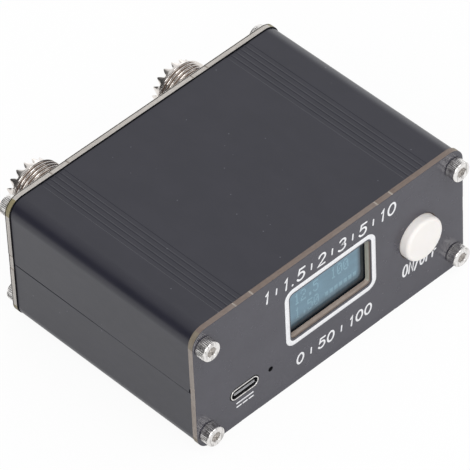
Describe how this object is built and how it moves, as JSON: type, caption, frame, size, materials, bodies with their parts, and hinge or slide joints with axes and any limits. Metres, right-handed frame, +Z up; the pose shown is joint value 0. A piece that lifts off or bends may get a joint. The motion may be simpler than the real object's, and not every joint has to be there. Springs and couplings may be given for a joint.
{
  "type": "swr meter",
  "caption": "Compact radio-frequency power and standing-wave meter: a split metal case between end panels, with a display window, push button, charging port and rear coaxial sockets.",
  "frame": {"origin": "middle of the case's underside, halfway between the end panels", "axes": "+X to the right as the front panel is faced, +Y from the front panel to the rear sockets, +Z up"},
  "size_m": [0.088, 0.0822, 0.0382],
  "materials": {
    "anodised_case": "dark grey, fine sand-blasted and anodised",
    "panel_laminate": "near-black glossy lacquer on a brown glass-fibre laminate",
    "screw_steel": "bright nickel-plated steel",
    "socket_nickel": "bright nickel on brass",
    "white_plastic": "white, lightly polished",
    "black_plastic": "black moulded",
    "display_glass": "glossy glass with a blue-grey lit area",
    "foam": "dark closed-cell foam",
    "ribbon_film": "amber polyimide film",
    "circuit_board": "green solder mask",
    "lamp_resin": "clear pale resin",
    "chip_body": "black moulded epoxy",
    "can_metal": "drawn aluminium can",
    "battery_foil": "laminated silver pouch foil",
    "red_lead": "red insulated wire",
    "black_lead": "black insulated wire",
    "fluoropolymer": "white turned fluoropolymer",
    "gilt_brass": "gold-plated",
    "tinned_copper": "tinned",
    "ferrite": "dark grey ceramic",
    "enamel_wire": "red-brown enamelled copper"
  },
  "bodies": {
    "case": {"lower_shell": "anodised_case", "upper_shell": "anodised_case", "front_panel": "panel_laminate", "rear_panel": "panel_laminate", "front_screw_lower_left": "screw_steel", "front_screw_lower_right": "screw_steel", "front_screw_upper_left": "screw_steel", "front_screw_upper_right": "screw_steel", "rear_screw_lower_left": "screw_steel", "rear_screw_lower_right": "screw_steel", "rear_screw_upper_left": "screw_steel", "rear_screw_upper_right": "screw_steel", "switch_cover": "screw_steel", "switch_base": "black_plastic", "switch_dome": "gilt_brass", "switch_terminal_lower": "tinned_copper", "switch_terminal_upper": "tinned_copper", "display_glass": "display_glass", "display_pad": "foam", "display_ribbon": "ribbon_film", "display_board": "circuit_board", "main_board": "circuit_board", "rf_board": "circuit_board", "display_header": "black_plastic", "rf_header": "black_plastic", "usb_shell": "screw_steel", "usb_tongue": "black_plastic", "charge_lamp": "lamp_resin", "battery_cell": "battery_foil", "battery_tape": "foam", "battery_socket": "white_plastic", "battery_plug": "white_plastic", "battery_lead_black": "black_lead", "battery_lead_red": "red_lead", "charger_chip": "chip_body", "power_inductor": "ferrite", "microcontroller": "chip_body", "filter_capacitor": "can_metal", "socket_body_left": "socket_nickel", "socket_body_right": "socket_nickel", "socket_washer_left": "screw_steel", "socket_washer_right": "screw_steel", "socket_nut_left": "socket_nickel", "socket_nut_right": "socket_nickel", "socket_insulator_left": "fluoropolymer", "socket_insulator_right": "fluoropolymer", "socket_contact_left": "gilt_brass", "socket_contact_right": "gilt_brass", "line_wire": "tinned_copper", "forward_core": "ferrite", "forward_winding": "enamel_wire", "reflected_core": "ferrite", "reflected_winding": "enamel_wire", "load_resistor_left": "chip_body", "load_resistor_right": "chip_body"},
    "button": {"button_cap": "white_plastic", "switch_plunger": "black_plastic"}
  },
  "joints": [
    {"name": "button_press", "type": "slide", "parent": "case", "child": "button", "axis": [0, 1, 0], "range_m": [0, 0.0003], "stiffness_N_per_m": 5000}
  ]
}
